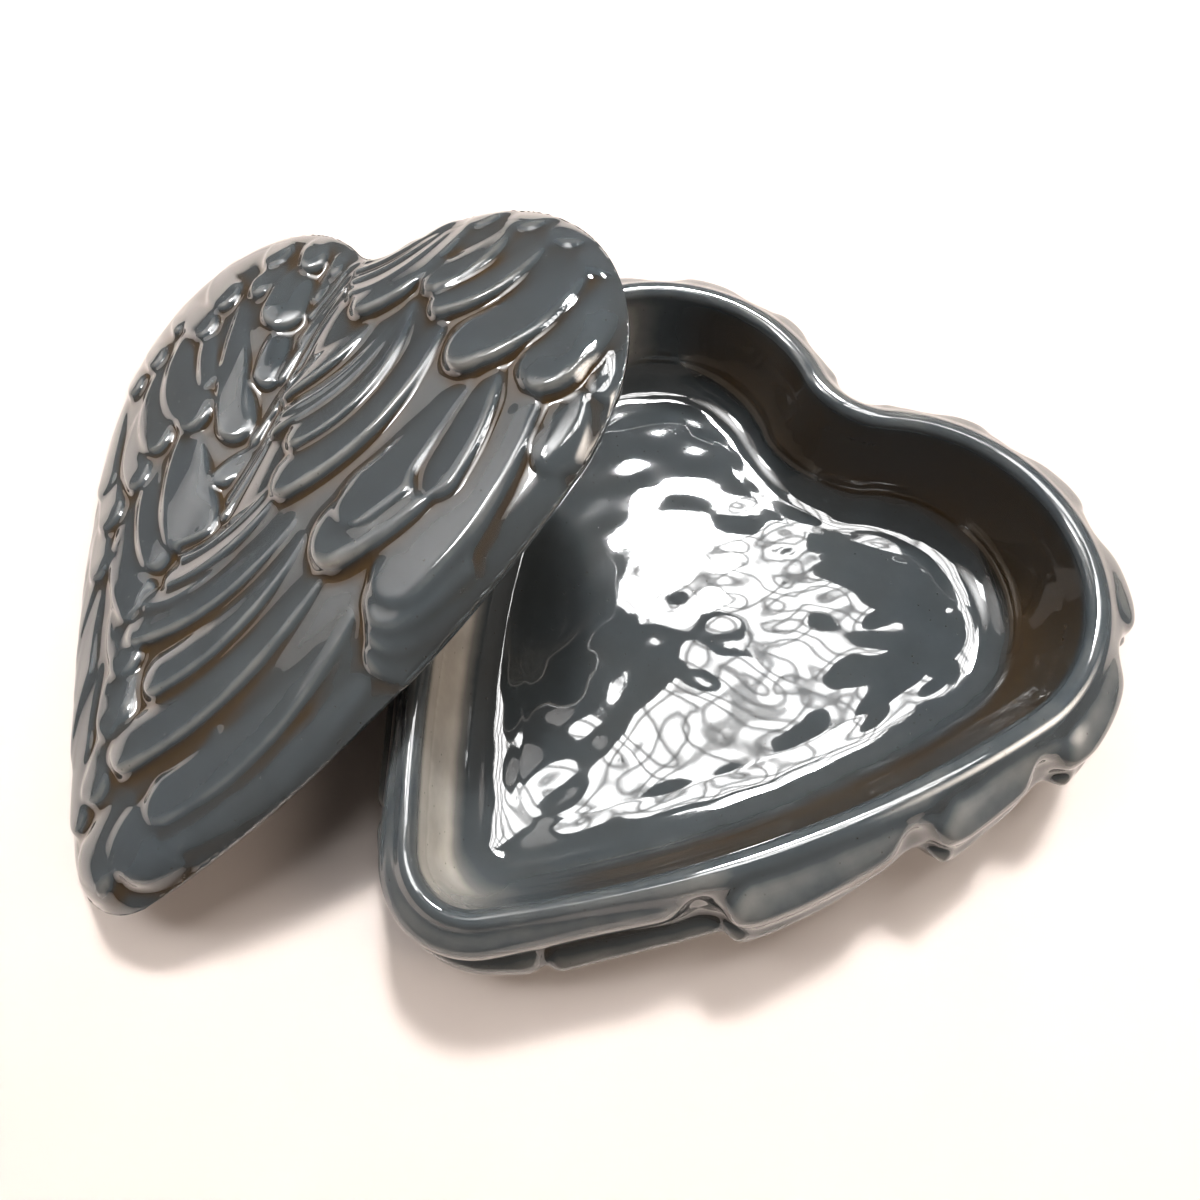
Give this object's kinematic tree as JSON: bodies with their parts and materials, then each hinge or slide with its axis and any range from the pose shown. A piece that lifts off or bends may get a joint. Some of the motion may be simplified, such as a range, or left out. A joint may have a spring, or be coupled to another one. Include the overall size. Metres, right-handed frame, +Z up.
{
  "type": "lidded trinket box",
  "caption": "Heart-shaped glazed ceramic dish with feathered sides and a loose lid shaped as two folded wings, which leans open against it.",
  "frame": {"origin": "on the table under the middle of the heart-shaped dish, at the middle of its flat foot", "axes": "+Z up out of the foot, +Y from the heart's point towards the notch between its lobes, +X towards the dish's right lobe"},
  "size_m": [0.206, 0.168, 0.0567],
  "materials": {
    "dish_glaze": "slate grey glaze, very glossy, pale and thin on the edges and dark where it pools in the grooves",
    "lid_glaze": "slate grey glaze, very glossy, pale and thin on the feather ridges and dark where it pools between them"
  },
  "bodies": {
    "dish": {"base_dish": "dish_glaze"},
    "lid": {"wing_lid": "lid_glaze"}
  },
  "joints": [
    {"name": "lid_lift", "type": "slide", "parent": "dish", "child": "lid", "axis": [0, 0, 1], "range_m": [0, 0.06]}
  ]
}
